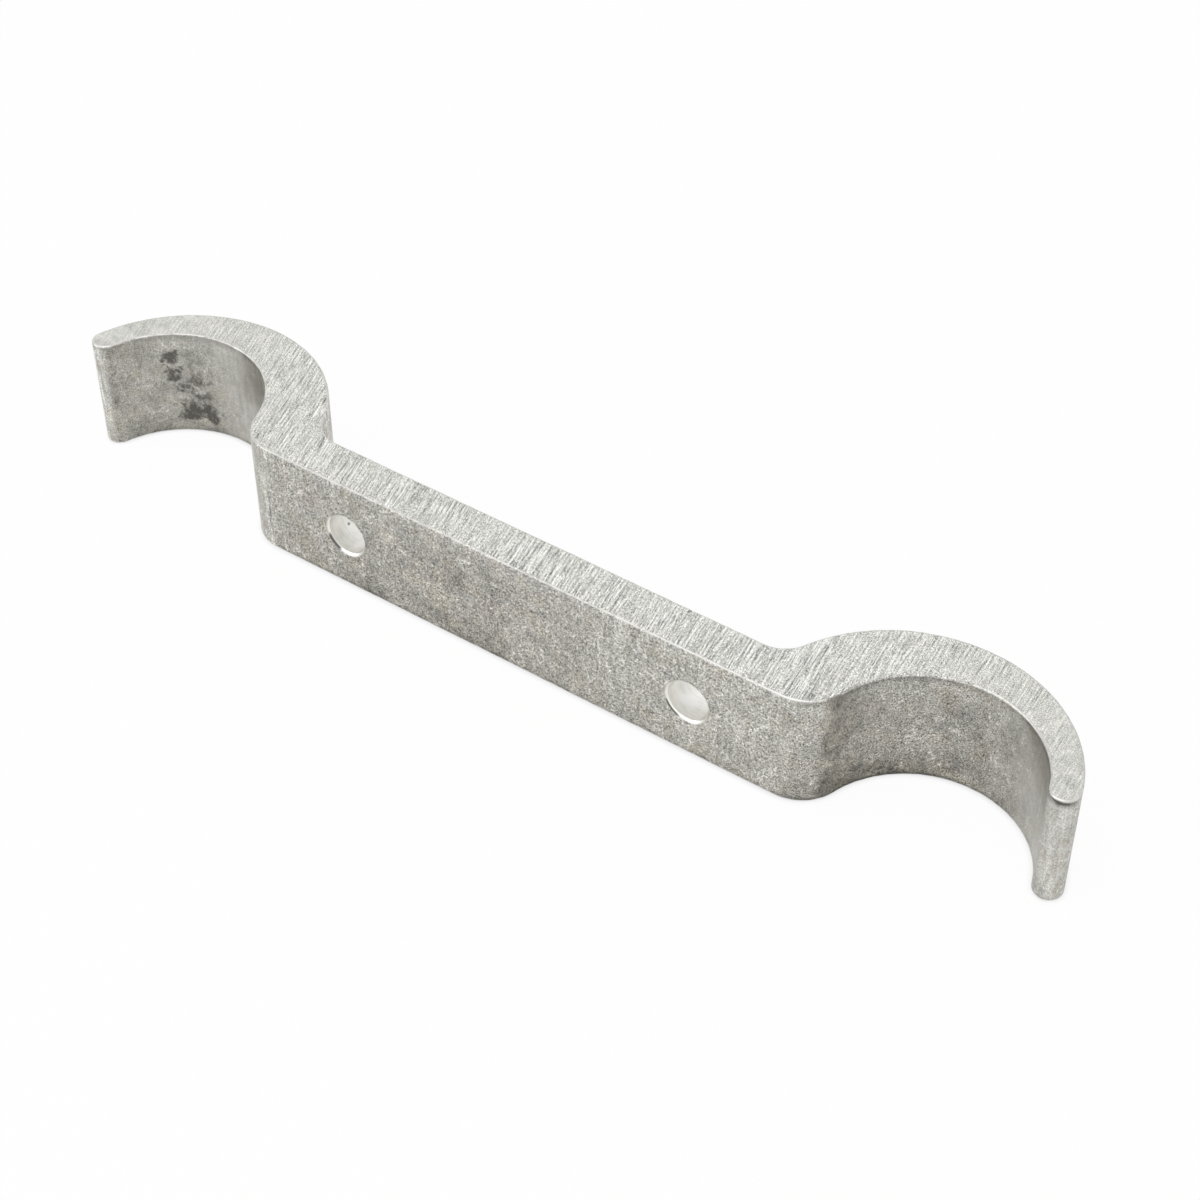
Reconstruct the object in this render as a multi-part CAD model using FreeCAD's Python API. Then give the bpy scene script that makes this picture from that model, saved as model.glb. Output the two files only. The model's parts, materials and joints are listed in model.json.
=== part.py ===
"""Double-hook pipe wrench bar: one slice sawn off an aluminium extrusion.

A flat bar carries a half-round hook at each end. Both hooks open to the bar's front face, each
seats a round pipe, and each tapers from a thick root at the bar to a thin round tip. Two plain
holes run through the bar from front to back.

Frame: X runs along the bar, Y from its front face towards the crowns of the hooks, Z is up, along
the direction of extrusion. The origin is at the middle of the part's base.
"""
import FreeCAD, Part
import math
import os

# ---- Driving dimensions, in millimetres and degrees ----

SLICE_WIDTH = 25.4        # length cut off the extrusion, between the two sawn faces
BAR_THICKNESS = 9.85      # front face to back face of the straight bar
SEAT_SPACING = 177.9      # between the centres of the two pipe seats
SEAT_RADIUS = 20.9        # inner radius of a hook
SEAT_SETBACK = 1.2        # seat centre behind the bar's front face
HOOK_WALL = 10.15         # outer radius of a hook less its inner radius
TAPER_SHIFT = 4.35        # outer arc's centre, nearer to the bar's middle than the seat's centre
CROWN_DROP = 0.6          # outer arc's centre, nearer to the front face than the seat's centre
TIP_ANGLE = 18.5          # where the seat ends at the tip, up from the X axis at the seat's centre
NOSE_RADIUS = 9.3         # convex round from the bar's front face into the seat
ROOT_RADIUS = 7.1         # concave round from the bar's back face into the outer arc
EDGE_BREAK = 0.45         # tumbled round on the edges of both sawn faces
HOLE_SPACING = 81.0       # between the axes of the two holes
HOLE_DIAMETER = 9.0
HOLE_CHAMFER = 0.5        # chamfer at both mouths of each hole

# ---- Places worked out from them ----

OUTER_RADIUS = SEAT_RADIUS + HOOK_WALL
DEPTH = SEAT_SETBACK - CROWN_DROP + OUTER_RADIUS
FRONT_Y = -DEPTH / 2
BACK_Y = FRONT_Y + BAR_THICKNESS
SEAT_CENTRE = (SEAT_SPACING / 2, FRONT_Y + SEAT_SETBACK)
OUTER_CENTRE = (SEAT_CENTRE[0] - TAPER_SHIFT, SEAT_CENTRE[1] - CROWN_DROP)


def point_at(centre, radius, angle):
    """Point on a circle in the plane of the profile; the angle is in radians."""
    return FreeCAD.Vector(
        centre[0] + radius * math.cos(angle), centre[1] + radius * math.sin(angle), 0
    )


def arc_edge(centre, radius, start, end):
    """Arc from one angle to another, through the angle halfway between them."""
    middle = (start + end) / 2
    points = [point_at(centre, radius, angle) for angle in (start, middle, end)]
    return Part.Arc(*points).toShape()


def angle_between(origin, target):
    """Direction from one point of the profile to another, in radians."""
    return math.atan2(target[1] - origin[1], target[0] - origin[0])


def round_beside(circle_centre, centre_distance, y):
    """Centre of a round on the bar's side of a hook's circle, at the given height and distance."""
    reach = math.sqrt(centre_distance ** 2 - (y - circle_centre[1]) ** 2)
    return (circle_centre[0] - reach, y)


def tip_round():
    """Centre and radius of the round tip that touches the seat and the outer arc.

    Its centre lies on the ray at TIP_ANGLE from the seat's centre, one tip radius outside the seat
    and one tip radius inside the outer arc, which gives the radius directly.
    """
    angle = math.radians(TIP_ANGLE)
    shift = (OUTER_CENTRE[0] - SEAT_CENTRE[0], OUTER_CENTRE[1] - SEAT_CENTRE[1])
    along = shift[0] * math.cos(angle) + shift[1] * math.sin(angle)
    squares = OUTER_RADIUS ** 2 - SEAT_RADIUS ** 2 - shift[0] ** 2 - shift[1] ** 2
    radius = (squares + 2 * SEAT_RADIUS * along) / (2 * (SEAT_RADIUS + OUTER_RADIUS - along))
    centre = point_at(SEAT_CENTRE, SEAT_RADIUS + radius, angle)
    return (centre.x, centre.y), radius


def hook_edges():
    """Edges of the hook at +X, from the bar's front face round the tip to its back face."""
    nose = round_beside(SEAT_CENTRE, SEAT_RADIUS + NOSE_RADIUS, FRONT_Y + NOSE_RADIUS)
    root = round_beside(OUTER_CENTRE, OUTER_RADIUS + ROOT_RADIUS, BACK_Y + ROOT_RADIUS)
    tip, tip_radius = tip_round()
    nose_to_seat = angle_between(nose, SEAT_CENTRE)
    seat_from_nose = angle_between(SEAT_CENTRE, nose)
    seat_to_tip = math.radians(TIP_ANGLE)
    outer_from_tip = angle_between(OUTER_CENTRE, tip)
    outer_to_root = angle_between(OUTER_CENTRE, root)
    root_from_outer = angle_between(root, OUTER_CENTRE)
    return [
        arc_edge(nose, NOSE_RADIUS, -math.pi / 2, nose_to_seat),
        arc_edge(SEAT_CENTRE, SEAT_RADIUS, seat_from_nose, seat_to_tip),
        arc_edge(tip, tip_radius, seat_to_tip - math.pi, outer_from_tip),
        arc_edge(OUTER_CENTRE, OUTER_RADIUS, outer_from_tip, outer_to_root),
        arc_edge(root, ROOT_RADIUS, root_from_outer, -math.pi / 2),
    ]


def profile_face():
    """Closed section of the extrusion: two mirrored hooks joined by the bar's two faces."""
    right = hook_edges()
    mirror_point = FreeCAD.Vector(0, 0, 0)
    mirror_normal = FreeCAD.Vector(1, 0, 0)
    left = [edge.mirror(mirror_point, mirror_normal) for edge in right]
    nose_end = right[0].Vertexes[0].Point
    root_end = right[-1].Vertexes[-1].Point
    front = Part.makeLine(FreeCAD.Vector(-nose_end.x, FRONT_Y, 0), FreeCAD.Vector(nose_end.x, FRONT_Y, 0))
    back = Part.makeLine(FreeCAD.Vector(-root_end.x, BACK_Y, 0), FreeCAD.Vector(root_end.x, BACK_Y, 0))
    loop = Part.__sortEdges__(right + left + [front, back])
    return Part.Face(Part.Wire(loop))


def sawn_face_edges(solid):
    """Edges that lie flat in either sawn face."""
    return [edge for edge in solid.Edges if edge.BoundBox.ZLength < Part.Precision.confusion()]


def hole_cutter(x):
    """Drill with a chamfer at both faces of the bar, along Y at mid-width."""
    radius = HOLE_DIAMETER / 2
    mouth = radius + HOLE_CHAMFER
    along_y = FreeCAD.Vector(0, 1, 0)
    front_point = FreeCAD.Vector(x, FRONT_Y, SLICE_WIDTH / 2)
    back_point = FreeCAD.Vector(x, BACK_Y, SLICE_WIDTH / 2)
    drill = Part.makeCylinder(radius, BAR_THICKNESS, front_point, along_y)
    front_chamfer = Part.makeCone(mouth, radius, HOLE_CHAMFER, front_point, along_y)
    back_chamfer = Part.makeCone(mouth, radius, HOLE_CHAMFER, back_point, -along_y)
    return drill.fuse([front_chamfer, back_chamfer])


def hooked_bar():
    """The whole part: extruded section, tumbled edges, two drilled holes."""
    blank = profile_face().extrude(FreeCAD.Vector(0, 0, SLICE_WIDTH))
    tumbled = blank.makeFillet(EDGE_BREAK, sawn_face_edges(blank))
    cutters = [hole_cutter(side * HOLE_SPACING / 2) for side in (-1, 1)]
    return tumbled.cut(cutters)


def write_step(name, shape):
    """Write one sub-part as a STEP file named after its node."""
    os.makedirs("parts", exist_ok=True)
    shape.exportStep(os.path.join("parts", name + ".step"))


def main():
    write_step("hooked_bar", hooked_bar())


main()
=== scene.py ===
"""Double-hook pipe wrench bar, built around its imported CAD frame.

One slice of aluminium extrusion: two sawn faces, tumbled walls, two drilled holes. The blank is
meshed from the profile's own arcs and lines. A node tree then cuts the saw marks, dents the walls
and drills the bores.
"""
import functools
import json
import math

import bpy
import numpy as np
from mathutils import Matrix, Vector
from mathutils.geometry import delaunay_2d_cdt
from mathutils.kdtree import KDTree


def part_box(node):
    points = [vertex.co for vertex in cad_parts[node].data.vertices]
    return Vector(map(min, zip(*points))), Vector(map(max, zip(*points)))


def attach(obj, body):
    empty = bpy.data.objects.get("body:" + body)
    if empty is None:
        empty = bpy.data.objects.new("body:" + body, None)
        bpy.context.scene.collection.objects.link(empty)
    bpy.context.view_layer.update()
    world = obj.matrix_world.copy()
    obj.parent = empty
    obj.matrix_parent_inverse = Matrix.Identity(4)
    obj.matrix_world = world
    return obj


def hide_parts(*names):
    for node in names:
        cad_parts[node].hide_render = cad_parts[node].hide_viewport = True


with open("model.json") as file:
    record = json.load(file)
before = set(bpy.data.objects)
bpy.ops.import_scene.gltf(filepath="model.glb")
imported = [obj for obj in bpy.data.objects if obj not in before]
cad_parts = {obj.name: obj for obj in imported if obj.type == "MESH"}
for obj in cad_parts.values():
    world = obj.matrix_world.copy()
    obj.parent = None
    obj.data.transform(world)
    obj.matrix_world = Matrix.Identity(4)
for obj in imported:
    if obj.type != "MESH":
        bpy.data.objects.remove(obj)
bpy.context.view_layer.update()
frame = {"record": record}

bl_info = {
    "name": "Double-hook pipe wrench bar",
    "version": (1, 0, 0),
    "blender": (4, 5, 0),
    "location": "View3D > Sidebar > Pipe wrench",
    "description": "Builds the sawn and drilled hooked bar and the table it lies on",
    "category": "Add Mesh",
}

MM = 0.001
BAR_LOW, BAR_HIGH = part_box("hooked_bar")
MOUNTS = {mount["name"]: mount for mount in frame["record"]["mounts"]}
SEAT = MOUNTS["right_seat"]
HOLES = MOUNTS["bolt_pair"]
FRONT_Y = MOUNTS["bar_front"]["pos_m"][1]
BACK_Y = MOUNTS["bar_back"]["pos_m"][1]
FULL_TURN = 2 * math.pi
TABLE_HALF = 3.0          # metres from the part to the table's rim
TABLE_DROP = 0.1 * MM     # under the part, so that their faces don't lie in one plane
SENSOR_WIDTH = 36.0       # in millimetres, as Blender's cameras have it
LAMPS = (                 # name, place and width in metres, and power in watts
    ("overhead_softbox", (-0.1, -0.35, 1.1), 1.0, 3.0),
    ("left_softbox", (-1.0, -0.8, 0.5), 0.8, 2.0),
)

# ---- Fineness of the blank's mesh ----

OUTLINE_STEP = 0.6 * MM       # along the profile
ROW_STEP = 0.8 * MM           # up the walls
SOFTEN_STEPS = 1              # outline steps over which the tones fade
EDGE_STEPS = 4                # across the round on each sawn edge
MARK_STEP = 0.22 * MM         # across the saw marks
TRACK_STEP = 0.9 * MM         # along the saw marks
BORE_SIDES = 96               # round a hole
CRISP_ANGLE = math.radians(32)  # edges that bend more stay sharp
MARK_WANDER = 1.2             # pitches by which a saw mark may leave its place
WANDER_SCALE = 0.2            # of the noise that pushes the marks, per pitch
RIM_CLEARANCE = 0.36 * MM     # from the edge round's corners to the first inner points
FAINT = 0.15                  # crispness that the saw marks keep where they have faded
WAVER_CYCLES = (9, 17, 31, 53, 83, 127, 181, 263, 397)  # of the edge's waver, round the outline
INSIDE_ONLY = 1               # which triangles the triangulation returns
JOIN_GAP = 1e-9               # metres under which it joins two points

# ---- Skin along the profile, from the bar's front face round each hook to its tip ----
#
# A stop holds six values: how far along its run it lies; tone, where 1 is bright and -1 is dull,
# partly the skin's own rubbed and dull tone and partly painted light and shade; calm, where 0 is
# grainy and 1 is smooth; wear, how far the broken edge is rubbed to bright metal, with a painted
# highlight on it; brow, the strength of the painted shade under that edge; and rise, painted light
# and shade: how much brighter the wall's tone is at the top than halfway up, and duller at the
# foot.

PLAIN = (0.0, 0.85, 0.0, 0.2)   # calm, wear, brow and rise of plain skin
PLAIN_SKIN = ((0.0, 0.0, *PLAIN),)
RIGHT_HOOK = {
    "front": (
        (0.0, -0.12, *PLAIN), (0.25, -0.08, *PLAIN),
        (0.38, 0.17, *PLAIN), (1.0, 0.15, 0.0, 0.85, 0.1, 0.2),
    ),
    "nose": (
        (0.0, 0.2, 0.0, 0.85, 0.1, 0.3), (0.2, 0.2, 0.0, 0.9, 0.1, 0.4),
        (0.33, -0.05, 0.0, 0.9, 0.2, 0.4), (0.4, -0.15, 0.0, 0.9, 0.3, 0.4),
        (0.57, 0.0, 0.0, 0.8, 0.4, 0.5), (0.66, -0.2, 0.1, 0.7, 0.2, 0.4),
        (0.75, -0.78, 0.2, 0.5, 0.1, 0.4), (1.0, -0.75, 0.2, 0.4, 0.1, 0.5),
    ),
    "seat": (
        (0.0, -0.6, 0.1, 0.2, 0.5, 0.6), (0.04, -0.45, 0.0, 0.2, 0.5, 0.6),
        (0.1, -0.26, 0.0, 0.2, 0.5, 0.7), (0.23, -0.14, 0.0, 0.2, 0.5, 0.7),
        (0.28, -0.3, 0.0, 0.3, 0.5, 0.6), (0.4, -0.25, 0.0, 0.5, 0.5, 0.5),
        (0.53, -0.15, 0.1, 0.8, 0.4, 0.3), (0.65, -0.17, 0.4, 0.9, 0.4, 0.2),
        (0.74, 0.05, 0.8, 1.0, 0.5, 0.0), (1.0, 0.05, 0.9, 0.8, 0.3, 0.0),
    ),
    "tip": (
        (0.0, -0.1, 0.8, 0.8, 0.2, 0.0), (0.15, 0.0, 0.6, 0.9, 0.3, 0.0),
        (0.27, 0.35, 0.6, 1.0, 0.8, 0.0), (0.4, 0.8, 0.6, 1.0, 1.5, 0.0),
        (0.5, 0.9, 0.6, 1.1, 1.6, 0.0), (0.6, 0.3, 0.6, 1.0, 1.1, 0.0),
        (0.76, 0.8, 0.6, 1.0, 0.5, 0.0), (0.88, 0.5, 0.5, 0.9, 0.2, 0.0),
        (1.0, 0.0, 0.5, 0.9, 0.1, 0.1),
    ),
    "outer": (
        (0.0, 0.0, 0.5, 0.9, 0.0, 0.1), (0.3, 0.0, 0.2, 0.85, 0.0, 0.2),
        (1.0, 0.0, *PLAIN),
    ),
}
LEFT_HOOK = {
    "front": (
        (0.0, -0.17, *PLAIN), (0.2, -0.25, *PLAIN),
        (0.45, -0.14, *PLAIN), (0.6, -0.18, 0.0, 0.85, 0.0, 0.3),
        (0.75, -0.03, 0.0, 0.85, 0.0, 0.3), (1.0, -0.05, *PLAIN),
    ),
    "nose": (
        (0.0, 0.2, 0.0, 0.85, 0.0, 0.0), (0.08, 1.1, 0.2, 0.9, 0.0, 0.0),
        (0.14, 0.5, 0.2, 0.9, 0.0, 0.0), (0.27, 0.2, 0.3, 0.9, 0.0, 0.0),
        (0.33, -0.3, 0.3, 0.9, 0.0, 0.0), (0.42, 0.4, 0.5, 0.9, 0.0, 0.0),
        (0.6, 0.6, 0.5, 0.8, 0.0, 0.0), (1.0, 0.6, 0.8, 0.6, 0.0, 0.1),
    ),
    "seat": (
        (0.0, 0.7, 0.9, 0.4, 0.1, 0.2), (0.28, 0.8, 0.95, 0.5, 0.3, 0.3),
        (0.38, 0.62, 0.95, 0.5, 0.5, 0.3), (0.48, 0.45, 0.9, 0.6, 0.4, 0.3),
        (0.55, 0.1, 0.7, 0.7, 0.4, 0.2), (0.65, -0.28, 0.6, 0.8, 0.4, 0.2),
        (0.8, -0.28, 0.6, 0.9, 0.4, 0.2), (0.88, -0.2, 0.5, 0.9, 0.4, 0.2),
        (1.0, -0.2, 0.4, 1.0, 0.3, 0.1),
    ),
    "tip": (
        (0.0, -0.1, 0.4, 1.0, 0.1, 0.0), (0.09, -0.43, 0.4, 1.0, 0.1, 0.0),
        (0.15, -0.8, 0.4, 1.0, 0.1, 0.0), (0.21, -0.7, 0.4, 1.0, 0.1, 0.0),
        (0.26, 0.5, 0.4, 1.0, 0.2, 0.0), (0.39, 0.85, 0.4, 1.0, 0.2, 0.0),
        (1.0, 0.9, 0.4, 1.0, 0.2, 0.0),
    ),
    "outer": (
        (0.0, 0.9, 0.4, 1.0, 0.0, 0.1), (0.15, 0.4, 0.3, 0.9, 0.0, 0.2),
        (0.35, 0.1, 0.1, 0.85, 0.0, 0.2), (0.8, 0.1, *PLAIN),
        (1.0, 0.5, *PLAIN),
    ),
}
SCRATCH_WIDTH = 0.014   # how near the noise is to its middle in a curling scratch
BROW_DEPTH = 1.5 * MM   # height of the painted shade under the top edge, on the wall
FOOT_DEPTH = 0.6 * MM   # height of the painted shade along the foot of the wall
FOOT = 1.2              # strength of that painted shade per unit of rise
SEAM_WEAR = 0.5         # share of the wear and painted highlight where an edge's round leaves the wall
FOOT_WEAR = 0.3         # share of the wear and painted highlight that the lower edges get
SCUFF_DEPTH = 2.4 * MM  # how far down the wall the edge's bright metal and painted highlight may reach
SCUFF = 0.5             # share of the wear and painted highlight that the wall gets just under the edge
EDGE_LIFT = 0.5         # share of the painted rise, light at the top and shade at the foot, that the edges get

# ---- Names of the attributes that the finishes read ----

SAWN = "sawn"
EDGE_WEAR_AND_HIGHLIGHT = "edge_wear"
SAW_TRACK = "saw_track"
CRISP = "crisp"
TONE = "tone"
CALM = "calm"
SHADE_LINE = "brow"
FINISH = "finish"
WALL, SAWN_FACE = 0, 1


# ---- Sizes and colours that a user may change ----


def length(name, description, default):
    """A length in metres, shown with the scene's units."""
    return bpy.props.FloatProperty(
        name=name, description=description, default=default, unit="LENGTH", subtype="DISTANCE",
        precision=5,
    )


def angle(name, description, degrees):
    """An angle, given here in degrees."""
    return bpy.props.FloatProperty(
        name=name, description=description, default=math.radians(degrees), unit="ROTATION",
        subtype="ANGLE",
    )


def factor(name, description, default, high=1.0):
    """A plain number from zero up."""
    return bpy.props.FloatProperty(
        name=name, description=description, default=default, min=0.0, max=high, subtype="FACTOR",
    )


def linear(hex_colour):
    """Linear RGB of an sRGB colour written as six hex digits."""
    parts = [int(hex_colour[i:i + 2], 16) / 255 for i in (0, 2, 4)]
    return tuple(p / 12.92 if p <= 0.04045 else ((p + 0.055) / 1.055) ** 2.4 for p in parts)


def colour(name, description, hex_colour):
    """A colour, given here as sRGB hex."""
    return bpy.props.FloatVectorProperty(
        name=name, description=description, default=linear(hex_colour), size=3, min=0.0, max=1.0,
        subtype="COLOR",
    )


class BarSizes(bpy.types.PropertyGroup):
    """Sizes of the extruded profile and of its drilled holes."""

    slice_width: length("Slice width", "Cut off the extrusion", BAR_HIGH.z - BAR_LOW.z)
    seat_spacing: length("Seat spacing", "Between the pipe seats' centres", 2 * SEAT["pos_m"][0])
    seat_radius: length("Seat radius", "Inner radius of a hook", SEAT["dims"]["r_mm"] * MM)
    seat_y: length("Seat centre Y", "Seat centre across the bar", SEAT["pos_m"][1])
    front_y: length("Front face Y", "Front face of the bar", FRONT_Y)
    back_y: length("Back face Y", "Back face of the bar", BACK_Y)
    hook_wall: length("Hook wall", "Outer radius less inner radius", 10.15 * MM)
    taper_shift: length("Taper shift", "Outer arc's centre towards the middle", 4.35 * MM)
    crown_drop: length("Crown drop", "Outer arc's centre towards the front", 0.6 * MM)
    tip_angle: angle("Tip angle", "Where the seat ends at the tip", 18.5)
    nose_radius: length("Nose radius", "Front face into the seat", 9.3 * MM)
    root_radius: length("Root radius", "Back face into the outer arc", 7.1 * MM)
    edge_break: length("Edge break", "Tumbled round on the sawn edges", 0.45 * MM)
    hole_spacing: length("Hole spacing", "Between the holes", HOLES["dims"]["spacing_x_mm"] * MM)
    hole_radius: length("Hole radius", "Radius of each hole", HOLES["dims"]["hole_r_mm"] * MM)
    hole_chamfer: length("Hole chamfer", "At both mouths of each hole", 0.5 * MM)


class SurfaceSizes(bpy.types.PropertyGroup):
    """Sizes of the marks that the saw and the tumbling leave."""

    mark_pitch: length("Mark pitch", "Between two saw marks", 0.85 * MM)
    mark_run: length("Mark run", "Length that one saw mark keeps its depth", 6.0 * MM)
    mark_depth: length("Mark depth", "Deepest saw mark", 0.03 * MM)
    mark_slant: factor("Mark slant", "Sideways run of a mark per unit of depth", 0.24)
    mark_turn: factor("Mark turn", "Change of the slant per metre along the bar", 1.36, 10.0)
    fade_centre: length("Fade centre", "Place along the bar where the marks are crispest", 5 * MM)
    fade_start: length("Fade start", "From there to where the marks begin to fade", 65 * MM)
    fade_end: length("Fade end", "From there to where the marks are faint", 118 * MM)
    dent_size: length("Dent size", "Across a tumbling dent", 3.0 * MM)
    dent_depth: length("Dent depth", "Deepest tumbling dent", 0.05 * MM)
    edge_waver: factor("Edge waver", "Share by which the edge break's round varies", 0.3)
    seed: bpy.props.IntProperty(name="Seed", description="Places the marks and dents", default=4)


class FinishColours(bpy.types.PropertyGroup):
    """Colours of the bare metal's three finishes."""

    sawn: colour("Sawn", "Metal between the saw marks", "CECEC8")
    # Painted glints: the saw marks' ridges are drawn in this brighter colour.
    sawn_ridge: colour("Sawn ridge", "Bright ridges left by the saw's teeth", "E8E8E4")
    wall: colour("Wall", "Tumbled skin of the extrusion", "BEBCB7")
    # Partly the skin's own dull tone and partly painted shade, darker towards the wall's foot.
    dull: colour("Dull wall", "Skin that the tumbling stones don't reach", "89867D")
    # Partly the skin's own rubbed tone and partly painted light, brighter towards the wall's top.
    rubbed: colour("Rubbed", "Skin rubbed bright on the noses and tips", "DBDAD5")
    # Also the painted shade on each bore wall away from its lower left.
    stain: colour("Stain", "Faint brown patches in the skin", "B2ACA0")
    # Worn metal, and also a painted highlight on the broken edges, less on the lower ones.
    edge: colour("Edge", "Bright metal of the broken edges", "CFCECA")
    bore: colour("Bore", "Drilled metal", "FCFBF7")
    # Painted shade under the broken edges and along the wall's foot, and the speck in the left
    # hole.
    grime: colour("Grime", "Dark line under the broken edges", "66645F")
    # Also the painted shade arc at the lower left of each hole's chamfer.
    smudge: colour("Smudge", "Oily die mark in the left seat", "62605C")


class StudioSettings(bpy.types.PropertyGroup):
    """Camera, white surround and table."""

    azimuth: angle("Azimuth", "Camera round the part, from the front", 35.3485)
    elevation: angle("Elevation", "Camera above the table", 42.095)
    distance: length("Distance", "Camera from the point it looks at", 0.46725)
    aim: bpy.props.FloatVectorProperty(
        name="Aim", description="Point that the camera looks at", unit="LENGTH",
        subtype="TRANSLATION", precision=5, default=(11.43 * MM, -2.23 * MM, 12.7 * MM),
    )
    lens: bpy.props.FloatProperty(
        name="Lens", description="Focal length on a 36 mm sensor", default=73.165, unit="CAMERA",
    )
    sky: factor("Sky", "Strength at which the white surround lights matt surfaces", 0.75)
    floor: colour("Floor", "Pale table top", "F6F6F4")
    glow_share: factor("Glow share", "Share of the table's white that no shadow dims", 0.95)
    mirror_share: factor("Mirror share", "The same share, for the table mirrored in metal", 0.2)
    contact_level: factor("Contact level", "Brightness of the table where the metal meets it", 0.45)
    contact_reach: length("Contact reach", "How far the contact shadow reaches", 2.2 * MM)


# ---- The blank's outline ----


def run_rows(points, normals, stops):
    """Outline rows: point, outward normal and the skin's five values between its stops."""
    along = np.arange(len(points)) / len(points)
    places, *columns = zip(*stops)
    skin = [np.interp(along, places, values) for values in columns]
    return np.column_stack([points, normals, *skin])


def arc_run(centre, radius, start, end, stops=PLAIN_SKIN):
    """Rows along an arc, up to but not at its end."""
    count = max(2, math.ceil(abs(end - start) * radius / OUTLINE_STEP))
    angles = start + (end - start) * np.arange(count) / count
    away = np.column_stack([np.cos(angles), np.sin(angles)])
    facing = 1.0 if end > start else -1.0
    return run_rows(np.array(centre) + radius * away, facing * away, stops)


def line_run(start, end, stops=PLAIN_SKIN):
    """Rows along a line, up to but not at its end."""
    start, end = np.array(start), np.array(end)
    run = np.linalg.norm(end - start)
    count = math.ceil(run / OUTLINE_STEP)
    along = (end - start) / run
    share = np.arange(count)[:, None] / count
    normals = np.tile([along[1], -along[0]], (count, 1))
    return run_rows(start + (end - start) * share, normals, stops)


def direction(origin, target):
    """Angle of the line from one point of the profile to another."""
    return math.atan2(target[1] - origin[1], target[0] - origin[0])


def tip_round(bar, seat, outer, outer_radius):
    """Centre and radius of the tip's round, which touches the seat and the outer arc."""
    shift = np.array(outer) - np.array(seat)
    ray = np.array([math.cos(bar.tip_angle), math.sin(bar.tip_angle)])
    along = float(shift @ ray)
    squares = outer_radius ** 2 - bar.seat_radius ** 2 - float(shift @ shift)
    both = bar.seat_radius + outer_radius - along
    radius = (squares + 2 * bar.seat_radius * along) / (2 * both)
    return np.array(seat) + ray * (bar.seat_radius + radius), radius


def round_beside(circle, distance, y):
    """Centre of a round on the bar's side of a hook's circle, at this distance and height."""
    return (circle[0] - math.sqrt(distance ** 2 - (y - circle[1]) ** 2), y)


def half_outline(bar, hook):
    """Outline of the half at +X, from the middle of the front face to that of the back."""
    outer_radius = bar.seat_radius + bar.hook_wall
    seat = (bar.seat_spacing / 2, bar.seat_y)
    outer = (seat[0] - bar.taper_shift, seat[1] - bar.crown_drop)
    nose = round_beside(seat, bar.seat_radius + bar.nose_radius, bar.front_y + bar.nose_radius)
    root = round_beside(outer, outer_radius + bar.root_radius, bar.back_y + bar.root_radius)
    tip, tip_radius = tip_round(bar, seat, outer, outer_radius)
    down = -math.pi / 2
    return np.vstack([
        line_run((0.0, bar.front_y), (nose[0], bar.front_y), hook["front"]),
        arc_run(nose, bar.nose_radius, down, direction(nose, seat), hook["nose"]),
        arc_run(seat, bar.seat_radius, direction(seat, nose), bar.tip_angle, hook["seat"]),
        arc_run(tip, tip_radius, bar.tip_angle - math.pi, direction(outer, tip), hook["tip"]),
        arc_run(outer, outer_radius, direction(outer, tip), direction(outer, root), hook["outer"]),
        arc_run(root, bar.root_radius, direction(root, outer), down),
        line_run((root[0], bar.back_y), (0.0, bar.back_y)),
        [[0.0, bar.back_y, 0.0, 1.0, *PLAIN_SKIN[0][1:]]],
    ])


def full_outline(bar):
    """Closed outline, counter-clockwise, as points, outward normals and softened skin."""
    mirror = np.array([-1.0, 1.0, -1.0, 1.0, 1.0, 1.0, 1.0, 1.0, 1.0])
    left = half_outline(bar, LEFT_HOOK)[-2:0:-1] * mirror
    rows = np.vstack([half_outline(bar, RIGHT_HOOK), left])
    window = range(-SOFTEN_STEPS, SOFTEN_STEPS + 1)
    skin = sum(np.roll(rows[:, 4:], shift, axis=0) for shift in window) / len(window)
    return rows[:, :2], rows[:, 2:4], skin


# ---- The blank's mesh ----


def loop_waver(count, seed):
    """Smooth closed variation along the outline, about -1 to 1."""
    draws = np.random.RandomState(seed)
    place = np.arange(count) / count * FULL_TURN
    total = np.zeros(count)
    for cycles in WAVER_CYCLES:
        total += np.cos(cycles * place + draws.uniform(0, FULL_TURN)) * draws.uniform(0.4, 1.0)
    return total / np.abs(total).max()


def edge_rings(radius, seam, outward):
    """Rings of an edge's round, from the wall to the sawn face: inset, height, wear and highlight.
    """
    rings = []
    for step in range(1, EDGE_STEPS + 1):
        turn = math.pi / 2 * step / EDGE_STEPS
        inset = radius * (1 - math.cos(turn))
        wear_and_highlight = min(1.0, SEAM_WEAR + step / EDGE_STEPS)
        rings.append((inset, seam + outward * radius * math.sin(turn), wear_and_highlight))
    return rings


def wall_weights(bar, share):
    """Weights of wear, brow, foot and rise at a height, given as a share of the slice's width."""
    above = share * bar.slice_width
    below = bar.slice_width - above
    # Wear with a painted highlight just under the top edge, painted shade under that edge and at
    # the foot, and the rise, which paints light at the top of the wall and shade at its foot.
    wear_and_highlight = SCUFF * max(0.0, 1.0 - below / SCUFF_DEPTH)
    brow = max(0.0, 1.0 - below / BROW_DEPTH)
    foot = max(0.0, 1.0 - above / FOOT_DEPTH)
    return wear_and_highlight, brow, foot, (2 * share - 1) ** 3


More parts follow.
